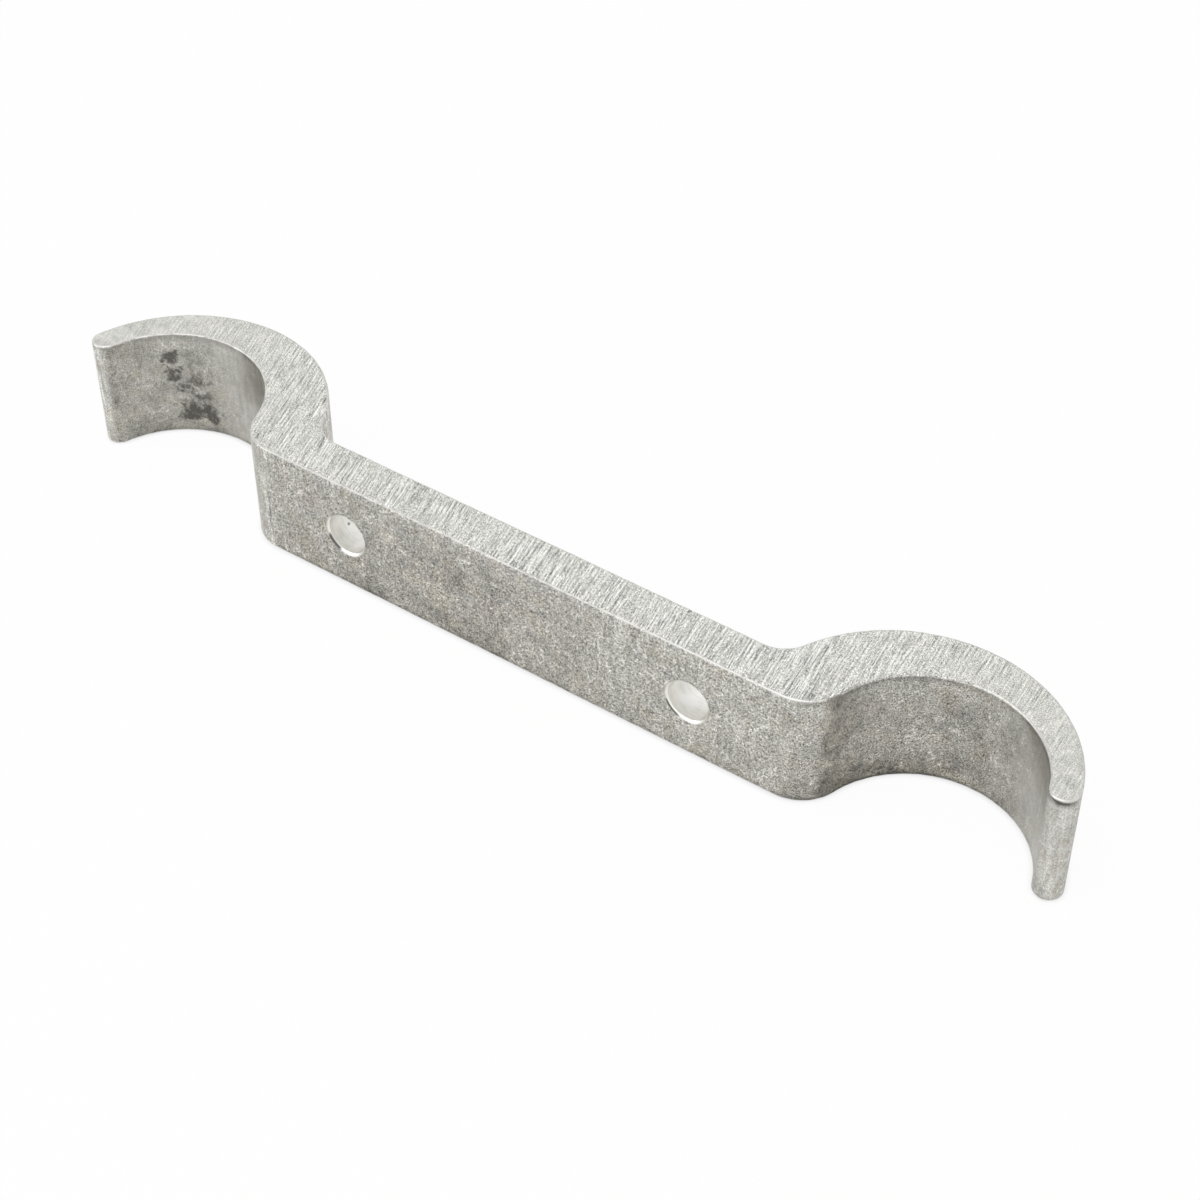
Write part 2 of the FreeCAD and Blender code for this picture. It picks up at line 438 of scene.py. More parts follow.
def ring_stack(points, normals, bar, surface):
    """Vertices of every ring, from the lower sawn face up, and each ring's four weights."""
    count = len(points)
    low = bar.edge_break * (1 + surface.edge_waver * loop_waver(count, surface.seed))
    high = bar.edge_break * (1 + surface.edge_waver * loop_waver(count, surface.seed + 1))
    rows = round(bar.slice_width / ROW_STEP)
    span = bar.slice_width - low - high
    # The lower round gets less wear and painted highlight, the painted shade of the foot and a
    # duller rise; the upper round gets painted shade where it is less worn, and a brighter rise.
    lower = [
        (inset, z, FOOT_WEAR * wear_and_highlight, 0.0, 1.0, -EDGE_LIFT)
        for inset, z, wear_and_highlight in edge_rings(low, low, -1.0)
    ]
    upper = [
        (inset, z, wear_and_highlight, 1.0 - wear_and_highlight, 0.0, EDGE_LIFT)
        for inset, z, wear_and_highlight in edge_rings(high, bar.slice_width - high, 1.0)
    ]
    wall = [
        (np.zeros(count), low + span * row / rows, *wall_weights(bar, row / rows))
        for row in range(rows + 1)
    ]
    rings = lower[::-1] + wall + upper
    vertices = [np.column_stack([points - normals * ring[0][:, None], ring[1]]) for ring in rings]
    return np.array(vertices), *np.array([ring[2:] for ring in rings]).T


def ring_quads(ring_count, count):
    """Faces between neighbouring rings, facing outwards."""
    ring, place = np.meshgrid(np.arange(ring_count - 1), np.arange(count), indexing="ij")
    after = (place + 1) % count
    lower, upper = ring * count, (ring + 1) * count
    corners = [lower + place, lower + after, upper + after, upper + place]
    return np.stack(corners, axis=-1).reshape(-1, 4)


def crossings(rim, y):
    """Sorted places where the rim crosses one height."""
    after = np.roll(rim, -1, axis=0)
    crosses = (rim[:, 1] > y) != (after[:, 1] > y)
    start, end = rim[crosses], after[crosses]
    share = (y - start[:, 1]) / (end[:, 1] - start[:, 1])
    return np.sort(start[:, 0] + share * (end[:, 0] - start[:, 0]))


def track_spots(rim, surface):
    """Points inside a sawn face, in lines that follow the saw marks."""
    low, high = rim.min(axis=0), rim.max(axis=0)
    lean = abs(surface.mark_slant) * (high[1] - low[1])
    lines = np.arange(low[0] - lean, high[0] + lean, MARK_STEP)
    tree = KDTree(len(rim))
    for index, point in enumerate(rim):
        tree.insert((point[0], point[1], 0.0), index)
    tree.balance()
    spots = []
    for level, y in enumerate(np.arange(low[1], high[1], TRACK_STEP / 2)):
        chosen = lines[level % 2::2]
        x = (chosen - surface.mark_slant * y) / (1 - surface.mark_turn * y)
        x = x[np.searchsorted(crossings(rim, y), x) % 2 == 1]
        spots += [(place, y) for place in x if tree.find((place, y, 0.0))[2] > RIM_CLEARANCE]
    return np.array(spots)


def sawn_cap(rim, spots):
    """Triangles over a sawn face. Corners below len(rim) are the rim's, the rest are spots."""
    flat = [Vector(p) for p in np.vstack([rim, spots])]
    loop = list(range(len(rim)))
    found = delaunay_2d_cdt(flat, [], [loop], INSIDE_ONLY, JOIN_GAP, True)
    source = [ids[0] for ids in found[3]]
    inside = [face for face, owners in zip(found[2], found[5]) if owners]
    return [[source[corner] for corner in face] for face in inside]


def add_caps(vertices, faces, rings, width, surface):
    """Both sawn faces: their inner points join the vertices, and their triangles the faces."""
    count = rings.shape[1]
    for ring, height, facing_up in ((0, 0.0, False), (len(rings) - 1, width, True)):
        rim = rings[ring][:, :2]
        spots = track_spots(rim, surface)
        first_rim, first_spot = ring * count, len(vertices)
        for face in sawn_cap(rim, spots):
            corners = [c + first_rim if c < count else c - count + first_spot for c in face]
            faces.append(corners if facing_up else corners[::-1])
        vertices += [(x, y, height) for x, y in spots]


def skin_values(skin, weights):
    """Attributes of the walls: name, value at each ring's points, and value on the sawn faces."""
    tone, calm, worn_and_highlit, shade_line_strength, rise = skin.T
    wear_and_highlight, brow, foot, lift = weights
    return (
        (SAWN, np.zeros((len(wear_and_highlight), len(tone))), 1.0),
        # The rise paints light at the top of the wall and shade at its foot.
        (TONE, tone + np.outer(lift, rise), 0.0),
        (CALM, np.tile(calm, (len(wear_and_highlight), 1)), 0.0),
        # Edge wear, partly a painted highlight.
        (EDGE_WEAR_AND_HIGHLIGHT, np.outer(wear_and_highlight, worn_and_highlit), 0.0),
        # Painted shade under the edges and along the foot.
        (SHADE_LINE, np.outer(brow, shade_line_strength) + FOOT * np.outer(foot, rise), 0.0),
    )


def blank_mesh(bar, surface):
    """Closed mesh of the sawn slice before it is marked and drilled."""
    points, normals, skin = full_outline(bar)
    rings, *weights = ring_stack(points, normals, bar, surface)
    vertices = [tuple(v) for v in rings.reshape(-1, 3)]
    faces = ring_quads(len(rings), len(points)).tolist()
    on_walls, wall_faces = len(vertices), len(faces)
    add_caps(vertices, faces, rings, bar.slice_width, surface)
    mesh = bpy.data.meshes.new("hooked_bar_blank")
    mesh.from_pydata(vertices, [], faces)
    for name, on_wall, on_face in skin_values(skin, weights):
        values = np.append(on_wall, np.full(len(vertices) - on_walls, on_face)).astype(np.float32)
        mesh.attributes.new(name, "FLOAT", "POINT").data.foreach_set("value", values)
    finish = [WALL] * wall_faces + [SAWN_FACE] * (len(faces) - wall_faces)
    mesh.attributes.new(FINISH, "INT", "FACE").data.foreach_set("value", finish)
    mesh.validate()
    mesh.update()
    return mesh


# ---- Node trees ----


def add_node(tree, kind, inputs=(), **settings):
    """Add a node to the tree, set its properties, and fill its inputs with values or links.

    A kind in capitals is the operation of a math node. The inputs are a dictionary by name or
    number, or a tuple in the node's own order. A node given as a value is linked from its first
    live output, and a list links each of its nodes.
    """
    if kind.isupper():
        kind, settings = "ShaderNodeMath", {"operation": kind}
    node = tree.nodes.new(kind)
    for name, value in settings.items():
        setattr(node, name, value)
    keyed = inputs if isinstance(inputs, dict) else dict(enumerate(inputs))
    for key, given in keyed.items():
        for value in given if isinstance(given, list) else [given]:
            if isinstance(value, bpy.types.Node):
                value = next(output for output in value.outputs if output.enabled)
            if isinstance(value, bpy.types.NodeSocket):
                tree.links.new(value, node.inputs[key])
            else:
                node.inputs[key].default_value = value
    return node


def adder(tree):
    """The function above for one tree, which each function that makes nodes gets as add."""
    return functools.partial(add_node, tree)


def scale_for(size_mm):
    """Noise scale, per metre, whose features are about this many millimetres wide."""
    return 1.0 / (size_mm * MM)


def new_tree(name, inputs):
    """Geometry tree with a geometry input, the named value inputs and a geometry output."""
    tree = bpy.data.node_groups.new(name, "GeometryNodeTree")
    for in_out in ("INPUT", "OUTPUT"):
        tree.interface.new_socket("Geometry", in_out=in_out, socket_type="NodeSocketGeometry")
    for kind, labels in inputs.items():
        for label in labels:
            tree.interface.new_socket(label, in_out="INPUT", socket_type=kind)
    return tree


VECTOR_MATH = "ShaderNodeVectorMath"
MAP_RANGE = "ShaderNodeMapRange"
NOISE = "ShaderNodeTexNoise"
COLOUR_A, COLOUR_B = 6, 7   # places of the colours among a mix node's inputs
WHOLE_A, WHOLE_B = 2, 3     # places of the whole numbers among a compare node's inputs
TREE_INPUTS = {
    "NodeSocketFloat": (
        "Slice Width", "Front Y", "Back Y", "Hole Spacing", "Hole Radius", "Hole Chamfer",
        "Mark Pitch", "Mark Run", "Mark Depth", "Mark Slant", "Mark Turn", "Fade Centre",
        "Fade Start", "Fade End", "Dent Size", "Dent Depth",
    ),
    "NodeSocketInt": ("Seed",),
    "NodeSocketMaterial": ("Tumbled Wall", "Sawn Face", "Drilled Bore"),
}


def hole_place(add, place, spacing, width):
    """Place about the nearer hole: the hole's side, offsets beside and above its axis, distance."""
    x, _, z = add("ShaderNodeSeparateXYZ", (place,)).outputs
    side = add("SIGN", (x,))
    half = add("MULTIPLY", (spacing, -0.5))
    beside = add("MULTIPLY_ADD", (side, half, x))
    above = add("MULTIPLY_ADD", (width, -0.5, z))
    flat = add("ShaderNodeCombineXYZ", (beside, above))
    away = add(VECTOR_MATH, (flat,), operation="LENGTH").outputs["Value"]
    return side, beside, above, away


def machining_tree():
    """Tree that marks the sawn faces, dents the walls and drills the holes."""
    tree = new_tree("sawn_and_drilled", TREE_INPUTS)
    add = adder(tree)
    given = add("NodeGroupInput").outputs
    geometry = marked(add, given)
    geometry = drilled(add, given, geometry)
    geometry = finished(add, given, geometry)
    add("NodeGroupOutput", {"Geometry": geometry})
    return tree


def saw_track(add, given):
    """Place across and along the saw marks, in pitches and runs, different on the two faces."""
    x, y, z = add("ShaderNodeSeparateXYZ", (add("GeometryNodeInputPosition"),)).outputs
    turned = add("MULTIPLY", (x, given["Mark Turn"]))
    lean = add("SUBTRACT", (given["Mark Slant"], turned))
    across = add("MULTIPLY_ADD", (y, lean, x))
    pitches = add("DIVIDE", (across, given["Mark Pitch"]))
    runs = add("DIVIDE", (y, given["Mark Run"]))
    face = add("MULTIPLY_ADD", (z, 1.0 / MM, given["Seed"]))
    track = add("ShaderNodeCombineXYZ", (pitches, runs, face))
    wander = add(NOISE, {"Vector": track, "Scale": WANDER_SCALE, "Detail": 1.0})
    pitches = add("MULTIPLY_ADD", (wander, MARK_WANDER, pitches))
    return pitches, add("ShaderNodeCombineXYZ", (pitches, runs, face))


def saw_wave(add, pitches):
    """Rise and fall across the saw marks, from -1 in a hollow to 1 on a ridge."""
    turns = add("MULTIPLY", (pitches, FULL_TURN))
    return add("SINE", (turns,))


def saw_fade(add, given):
    """How crisp the saw marks are, from 1 near the middle of the bar to faint at the hooks."""
    x = add("ShaderNodeSeparateXYZ", (add("GeometryNodeInputPosition"),)).outputs["X"]
    away = add("SUBTRACT", (x, given["Fade Centre"]))
    away = add("ABSOLUTE", (away,))
    return add(MAP_RANGE, {
        "Value": away, "From Min": given["Fade Start"], "From Max": given["Fade End"],
        "To Min": 1.0, "To Max": FAINT,
    })


def marked(add, given):
    """Saw marks cut into the sawn faces and shallow dents in the walls."""
    pitches, track = saw_track(add, given)
    crisp = saw_fade(add, given)
    hollow = add(MAP_RANGE, {
        "Value": saw_wave(add, pitches), "From Min": 1.0, "From Max": -1.0, "To Max": crisp,
    })
    geometry = given["Geometry"]
    for name, value, kind in ((SAW_TRACK, track, "FLOAT_VECTOR"), (CRISP, crisp, "FLOAT")):
        geometry = add("GeometryNodeStoreNamedAttribute", {
            "Geometry": geometry, "Name": name, "Value": value,
        }, data_type=kind)
    on_face = add("GeometryNodeInputNamedAttribute", {"Name": SAWN}, data_type="FLOAT")
    groove = add("MULTIPLY", (hollow, given["Mark Depth"]))
    groove = add("MULTIPLY", (groove, on_face))
    fineness = add("DIVIDE", (1.0, given["Dent Size"]))
    dents = add(NOISE, {"Scale": fineness})
    dent = add("MULTIPLY", (dents, given["Dent Depth"]))
    off_face = add("SUBTRACT", (1.0, on_face))
    depth = add("MULTIPLY_ADD", (dent, off_face, groove))
    inward = add("MULTIPLY", (depth, -1.0))
    normal = add("GeometryNodeInputNormal")
    offset = add(VECTOR_MATH, {0: normal, "Scale": inward}, operation="SCALE")
    return add("GeometryNodeSetPosition", {"Geometry": geometry, "Offset": offset})


def hole_tools(add, given):
    """Cones that cut a hole: base radius, length, start along Y, and which way along Y it runs.

    The first is the drill, a cone that doesn't taper. The other two cut the chamfers.
    """
    radius, chamfer = given["Hole Radius"], given["Hole Chamfer"]
    front, back = given["Front Y"], given["Back Y"]
    mouth = add("ADD", (radius, chamfer))
    wide = add("ADD", (mouth, chamfer))
    sink = add("MULTIPLY", (chamfer, 2.0))
    thick = add("SUBTRACT", (back, front))
    through = add("MULTIPLY", (thick, 2.0))
    drill_y = add("MULTIPLY_ADD", (thick, -0.5, front))
    front_y = add("SUBTRACT", (front, chamfer))
    back_y = add("ADD", (back, chamfer))
    return (
        (radius, through, drill_y, 1.0),
        (wide, sink, front_y, 1.0),
        (wide, sink, back_y, -1.0),
    )


def drilled(add, given, geometry):
    """Both holes and their chamfers cut out of the bar."""
    middle = add("MULTIPLY", (given["Slice Width"], 0.5))
    cutters = []
    for base_radius, reach, start_y, facing in hole_tools(add, given):
        cone = add("GeometryNodeMeshCone", {
            "Vertices": BORE_SIDES, "Radius Top": given["Hole Radius"],
            "Radius Bottom": base_radius, "Depth": reach,
        })
        turned = add("GeometryNodeTransform", {
            "Geometry": cone, "Rotation": (-facing * math.pi / 2, 0.0, 0.0),
        })
        for side in (-0.5, 0.5):
            aside = add("MULTIPLY", (given["Hole Spacing"], side))
            place = add("ShaderNodeCombineXYZ", (aside, start_y, middle))
            cutter = add("GeometryNodeTransform", {"Geometry": turned, "Translation": place})
            cutters.append(cutter)
    return add("GeometryNodeMeshBoolean", {
        "Mesh 1": geometry, "Mesh 2": cutters,
    }, operation="DIFFERENCE", solver="MANIFOLD")


def finished(add, given, geometry):
    """Smooth shading with crisp chamfers, then the three finishes."""
    place = add("GeometryNodeInputPosition")
    *_, away = hole_place(add, place, given["Hole Spacing"], given["Slice Width"])
    mouth = add("ADD", (given["Hole Radius"], given["Hole Chamfer"]))
    in_bore = add("LESS_THAN", (away, mouth))
    kind = add("GeometryNodeInputNamedAttribute", {"Name": FINISH}, data_type="INT")
    is_sawn = add("FunctionNodeCompare", {
        WHOLE_A: kind, WHOLE_B: SAWN_FACE,
    }, data_type="INT", operation="EQUAL")
    crisp = add("FunctionNodeCompare", (
        add("GeometryNodeInputMeshEdgeAngle"), CRISP_ANGLE,
    ), data_type="FLOAT", operation="GREATER_THAN")
    geometry = add("GeometryNodeSetShadeSmooth", {"Geometry": geometry}, domain="FACE")
    geometry = add("GeometryNodeSetShadeSmooth", {
        "Geometry": geometry, "Selection": crisp, "Shade Smooth": False,
    }, domain="EDGE")
    geometry = add("GeometryNodeRealizeInstances", {"Geometry": geometry})
    for label, chosen in zip(TREE_INPUTS["NodeSocketMaterial"], (True, is_sawn, in_bore)):
        geometry = add("GeometryNodeSetMaterial", {
            "Geometry": geometry, "Selection": chosen, "Material": given[label],
        })
    return geometry


def run_tree(piece, tree, values):
    """Run the tree on the piece with these inputs and keep the result as its plain mesh."""
    modifier = piece.modifiers.new("machining", "NODES")
    modifier.node_group = tree
    for item in tree.interface.items_tree:
        if item.in_out == "INPUT" and item.name in values:
            modifier[item.identifier] = values[item.name]
    depsgraph = bpy.context.evaluated_depsgraph_get()
    result = bpy.data.meshes.new_from_object(piece.evaluated_get(depsgraph), depsgraph=depsgraph)
    piece.modifiers.clear()
    piece.data = result
    result.name = piece.name


# ---- Finishes ----


def adder_for(owner):
    """Adder for the tree of a new material or world, with nothing in it."""
    owner.use_nodes = True
    owner.node_tree.nodes.clear()
    return adder(owner.node_tree)


def new_material(name, surface, *settings):
    """Material whose surface is the shader that the given function adds to its tree."""
    material = bpy.data.materials.new(name)
    add = adder_for(material)
    add("ShaderNodeOutputMaterial", {"Surface": surface(add, *settings)})
    return material


def rgba(values):
    """Colour with full alpha."""
    return (values[0], values[1], values[2], 1.0)


def varied(add, level, place, scale, strength, **shape):
    """Level plus a noise's swing about zero, times the strength.

    The shape may give the noise's detail, roughness and distortion.
    """
    inputs = {"Vector": place, "Scale": scale}
    noise = add(NOISE, inputs | {key.title(): value for key, value in shape.items()})
    swing = add("SUBTRACT", (noise, 0.5))
    return add("MULTIPLY_ADD", (swing, strength, level))


def patches(add, place, scale, levels, shares, detail=1.0):
    """Share that goes from the first to the second as a noise rises between two levels."""
    noise = add(NOISE, {"Vector": place, "Scale": scale, "Detail": detail})
    return add(MAP_RANGE, {
        "Value": noise, "From Min": levels[0], "From Max": levels[1],
        "To Min": shares[0], "To Max": shares[1],
    })


def seat_place(bar, side, run, height):
    """Point on a seat's wall: run is the distance from the tip along the wall."""
    turn = bar.tip_angle + run / bar.seat_radius
    x = bar.seat_spacing / 2 + bar.seat_radius * math.cos(turn)
    return (side * x, bar.seat_y + bar.seat_radius * math.sin(turn), height)


CRINKLES = 0.7                      # strength of the crinkles per unit of mottling
PLAIN_STREAKS = 0.3                 # strength of the streaks on plain skin
RUBBED_STREAKS = 2.4                # what the streaks gain where the skin's tone is fully bright
DRAWN_OUT = (1.0, 1.0, 0.1)         # draws a noise out along the extrusion
TURNED = (0.1, 1.0, 0.1)            # draws a noise out into rings round a hole
HAIRLINES = 2.5                     # strength of the hairlines where the saw marks are clearest
HAIRS_PER_TRACK = (3.6, 1.3, 1.0)   # hairlines per pitch, and breaks per run of a saw mark
BETWEEN_PATCHES = 0.55              # share of their clearness that the saw marks keep there
LOWER_LEFT = math.radians(-135)     # turn about a hole's axis
ARC_STARTS = (0.05, 0.4)            # share of the left and right chamfer inside its painted shade arc
ARC_BORDER = 0.1 * MM               # over which the arc fades in
DULL_RIM = (0.5, 0.75)              # shares of a chamfer between which its dull rim fades in
SPECK_TURN = math.radians(-147)     # of the speck about the left hole's axis
SPECK_DEPTH = 5.3 * MM              # of the speck behind the front face
SPECK_RADIUS = 0.4 * MM
SPECK_CORE = 0.15 * MM              # radius within which the speck is darkest
SMUDGE_RIM, SMUDGE_CORE = 2.0, 0.3  # radii at which a smudge begins and is full

# Oily die marks in the left seat: distance from the tip, height and radius in mm, and strength.
SMUDGES = (
    (11.0, 19.6, 1.4, 1.0), (12.5, 20.0, 1.1, 1.0), (15.8, 20.2, 1.7, 0.4),
    (11.0, 15.2, 1.1, 1.0), (12.2, 14.6, 1.0, 1.0), (13.0, 16.4, 0.8, 0.8),
    (9.5, 16.7, 0.5, 0.6), (12.6, 11.8, 0.8, 0.8), (14.0, 11.0, 1.0, 0.8),
    (15.6, 10.4, 0.8, 0.7), (16.2, 13.4, 1.7, 0.62), (18.4, 14.6, 1.3, 0.5),
    (19.8, 13.0, 1.1, 0.6), (15.6, 17.0, 1.6, 0.45), (17.2, 9.4, 1.2, 0.75),
    (18.6, 9.0, 0.9, 0.65), (20.5, 8.5, 0.5, 0.5), (22.0, 8.2, 0.5, 0.45),
    (12.2, 4.6, 1.1, 0.6), (14.0, 5.4, 1.6, 0.85), (15.8, 5.0, 1.9, 1.0),
    (17.2, 6.8, 1.3, 0.9), (18.4, 5.4, 1.9, 1.0), (19.8, 4.2, 1.4, 1.0),
)


def bent(add, place, scale, reach):
    """Place pushed about by slow noise, so that round spots become irregular."""
    noise = add(NOISE, {"Vector": place, "Scale": scale}).outputs["Color"]
    push = add(VECTOR_MATH, (noise, (0.5, 0.5, 0.5)), operation="SUBTRACT")
    push = add(VECTOR_MATH, {0: push, "Scale": reach}, operation="SCALE")
    return add(VECTOR_MATH, (place, push), operation="ADD")


def smudge_mask(add, bar, place):
    """How strongly each spot of the left seat is stained, with torn borders."""
    pushed = bent(add, place, scale_for(2.2), reach=6 * MM)
    field = 0.0
    for run, height, radius, strength in SMUDGES:
        centre = seat_place(bar, -1, run * MM, height * MM)
        gap = add(VECTOR_MATH, (pushed, centre), operation="DISTANCE")
        spot = add(MAP_RANGE, {
            "Value": gap.outputs["Value"], "From Min": SMUDGE_RIM * radius * MM,
            "From Max": SMUDGE_CORE * radius * MM, "To Max": strength,
        }, interpolation_type="SMOOTHSTEP")
        field = add("MAXIMUM", (field, spot))
    torn = varied(add, 1.0, place, scale_for(0.8), strength=2.6, detail=3.0, roughness=0.75)
    field = add("MULTIPLY", (field, torn))
    return add(MAP_RANGE, {"Value": field, "From Min": 0.15, "From Max": 0.85, "To Max": 0.95})


def worn_and_highlit_edge(add, place):
    """Worn bright metal and painted highlight at each spot of a broken edge, with ragged borders.
    """
    wear_and_highlight = add("ShaderNodeAttribute", attribute_name=EDGE_WEAR_AND_HIGHLIGHT).outputs["Fac"]
    reach = varied(add, wear_and_highlight, place, scale_for(2.4), strength=1.8, detail=4.0, roughness=0.8)
    return add(MAP_RANGE, {"Value": reach, "From Min": 0.5, "From Max": 1.0})


def painted_shade_lines(add, place):
    """Strength of the painted shade under a broken edge and along the wall's foot."""
    brow = add("ShaderNodeAttribute", attribute_name=SHADE_LINE).outputs["Fac"]
    torn = varied(add, 1.0, place, scale_for(1.6), strength=2.0)
    return add("MULTIPLY", (brow, torn))


def mottling(add, tone):
    """Strength of the clouds and crinkles: the duller the skin, the stronger."""
    return add(MAP_RANGE, {
        "Value": tone, "From Min": 0.0, "From Max": -0.5, "To Min": 0.8, "To Max": 2.6,
    })


def skin_grain(add, place, calm, mottled):
    """Swing in brightness of the skin's fine grain and coarser crinkles, and the grain by itself.

    The real grain is under 0.1 mm and is drawn a few times as coarse, so that it shows.
    """
    grain = varied(
        add, 0.0, place, scale_for(0.27), strength=1.0, detail=1.0, roughness=0.9, distortion=0.6,
    )
    grainy = add(MAP_RANGE, {"Value": calm, "To Min": 3.8, "To Max": 0.3})
    scratches = light_scratches(add, place, calm)
    swing = add("MULTIPLY_ADD", (grain, grainy, scratches))
    crinkled = add("MULTIPLY", (mottled, CRINKLES))
    swing = varied(
        add, swing, place, scale_for(2.4), crinkled, detail=3.0, roughness=1.0, distortion=1.5,
    )
    return swing, grain


def light_scratches(add, place, calm):
    """Brightness that thin curling scratches add, in patches, and less where the skin is calm."""
    curl = add(NOISE, {"Vector": place, "Scale": scale_for(2.6)})
    curl = add("COMPARE", (curl, 0.5, SCRATCH_WIDTH))
    strength = add(MAP_RANGE, {"Value": calm, "To Min": 0.6, "To Max": 0.25})
    where = patches(add, place, scale_for(4), levels=(0.48, 0.6), shares=(0.0, strength))
    return add("MULTIPLY", (curl, where))


def wall_level(add, place, tone, calm, mottled):
    """Brightness with clouds, and streaks along the extrusion where bright-toned skin isn't calm.
    """
    drawn = add("ShaderNodeMapping", {"Vector": place, "Scale": DRAWN_OUT})
    rubbed = add("MAXIMUM", (tone, 0.0))
    lively = add("SUBTRACT", (1.0, calm))
    rubbed = add("MULTIPLY", (rubbed, lively))
    streaky = add("MULTIPLY_ADD", (rubbed, RUBBED_STREAKS, PLAIN_STREAKS))
    clouded = varied(add, 1.0, place, scale_for(7), mottled, detail=5.0, roughness=0.8)
    return varied(add, clouded, drawn, scale_for(0.8), streaky)


def speckled(add, base, swing):
    """Colour with a swing in brightness, of which half is neutral so that its warmth stays even."""
    half = add("MULTIPLY", (swing, 0.5))
    grey = add("MULTIPLY", (base, half))
    level = add("ADD", (half, 1.0))
    base = add(VECTOR_MATH, {0: base, "Scale": level}, operation="SCALE")
    return add(VECTOR_MATH, (base, grey), operation="ADD")


def layered(add, base, layers):
    """Colour under the given layers, each a share and a colour."""
    for share, paint in layers:
        inputs = {0: share, COLOUR_A: base, COLOUR_B: rgba(paint)}
        base = add("ShaderNodeMix", inputs, data_type="RGBA")
    return base


def tumbled_wall(add, colours, bar):
    """Mill-finish extruded aluminium, tumbled: dull mottled grey with a fine sparkling grain."""
    place = add("ShaderNodeTexCoord").outputs["Object"]
    tone = add("ShaderNodeAttribute", attribute_name=TONE).outputs["Fac"]
    calm = add("ShaderNodeAttribute", attribute_name=CALM).outputs["Fac"]
    mottled = mottling(add, tone)
    level = wall_level(add, place, tone, calm, mottled)
    swing, grain = skin_grain(add, place, calm, mottled)
    # The dull share holds the skin's own dull tone and painted shade towards the foot.
    dull = add("MULTIPLY", (tone, -1.0))
    stained = patches(add, place, scale_for(3.6), levels=(0.48, 0.72), shares=(0.0, 0.5))
    base = layered(add, rgba(colours.wall), (
        (tone, colours.rubbed), (dull, colours.dull), (stained, colours.stain),
    ))
    base = add(VECTOR_MATH, {0: base, "Scale": level}, operation="SCALE")
    base = speckled(add, base, swing)
    worn_and_highlit = worn_and_highlit_edge(add, place)
    base = layered(add, base, (
        # Painted shade under the broken edges and along the wall's foot.
        (painted_shade_lines(add, place), colours.grime),
        (smudge_mask(add, bar, place), colours.smudge),
        # Worn bright edges, with a painted highlight on them.
        (worn_and_highlit, colours.edge),
    ))
    smooth = add("MAXIMUM", (worn_and_highlit, calm))
    sheen = add(MAP_RANGE, {"Value": smooth, "To Min": 0.55, "To Max": 0.28})
    bump = add("ShaderNodeBump", {"Height": grain, "Distance": 0.02 * MM, "Strength": 1.0})
    return add("ShaderNodeBsdfPrincipled", {
        "Base Color": base, "Metallic": 1.0, "Roughness": sheen, "Normal": bump,
    })


def sawn_swing(add, place, track, patch, crisp):
    """Grain of the sawn metal, and hairlines along the saw marks in patches, as a swing about zero.

    The real hairlines and grain are under 0.1 mm and are drawn a few times as coarse.
    """
    grainy = add(MAP_RANGE, {"Value": crisp, "From Min": FAINT, "To Min": 1.0, "To Max": 3.2})
    grain = varied(add, 0.0, place, scale_for(0.24), grainy, detail=1.0, roughness=0.9)
    stretched = add("ShaderNodeMapping", {"Vector": track, "Scale": HAIRS_PER_TRACK})
    hairy = add("MULTIPLY", (patch, HAIRLINES))
    return varied(add, grain, stretched, 1.0, strength=hairy, detail=1.0, roughness=0.8)


def saw_patch(add, place, crisp):
    """How clear the saw marks are: they come and go in patches, and fade with their crispness."""
    faint = add("MULTIPLY", (crisp, BETWEEN_PATCHES))
    return patches(add, place, scale_for(6), levels=(0.42, 0.58), shares=(faint, crisp), detail=2.0)


def sawn_level(add, place, track, wave, patch, crisp):
    """Sawn metal's brightness: painted shade in hollows, hairlines, grain and slow mottling."""
    # Painted shade: the saw marks' hollows are drawn darker.
    hollow = add(MAP_RANGE, {"Value": wave, "From Min": -0.4, "From Max": -1.0, "To Max": -0.1})
    level = add("MULTIPLY_ADD", (hollow, patch, 1.0))
    swing = sawn_swing(add, place, track, patch, crisp)
    level = add("ADD", (level, swing))
    mottled = add(MAP_RANGE, {"Value": crisp, "From Min": FAINT, "To Min": 0.7, "To Max": 0.15})
    return varied(add, level, place, scale_for(2), mottled)


def sawn_face(add, colours):
    """Saw-cut aluminium: brighter fresh metal, fine parallel marks with painted glints and shade.
    """
    place = add("ShaderNodeTexCoord").outputs["Object"]
    track = add("ShaderNodeAttribute", attribute_name=SAW_TRACK).outputs["Vector"]
    crisp = add("ShaderNodeAttribute", attribute_name=CRISP).outputs["Fac"]
    wave = saw_wave(add, add("ShaderNodeSeparateXYZ", (track,)).outputs["X"])
    patch = saw_patch(add, place, crisp)
    # Painted glints: the saw marks' ridges are drawn brighter.
    ridge_glint = add(MAP_RANGE, {"Value": wave, "From Min": 0.5, "From Max": 1.0, "To Max": 0.8})
    ridge_glint = add("MULTIPLY", (ridge_glint, patch))
    # The broken edges take worn metal with a painted highlight.
    base = layered(add, rgba(colours.sawn), (
        (ridge_glint, colours.sawn_ridge), (worn_and_highlit_edge(add, place), colours.edge),
    ))
    level = sawn_level(add, place, track, wave, patch, crisp)
    base = add(VECTOR_MATH, {0: base, "Scale": level}, operation="SCALE")
    sheen = add(MAP_RANGE, {"Value": patch, "To Min": 0.5, "To Max": 0.42})
    return add("ShaderNodeBsdfPrincipled", {
        "Base Color": base, "Metallic": 1.0, "Roughness": sheen,
    })


def hole_facing(add, beside, above):
    """How far a place about a hole faces its lower left, from -1 to 1."""
    turn = add("ARCTAN2", (above, beside))
    turn = add("SUBTRACT", (turn, LOWER_LEFT))
    return add("COSINE", (turn,))


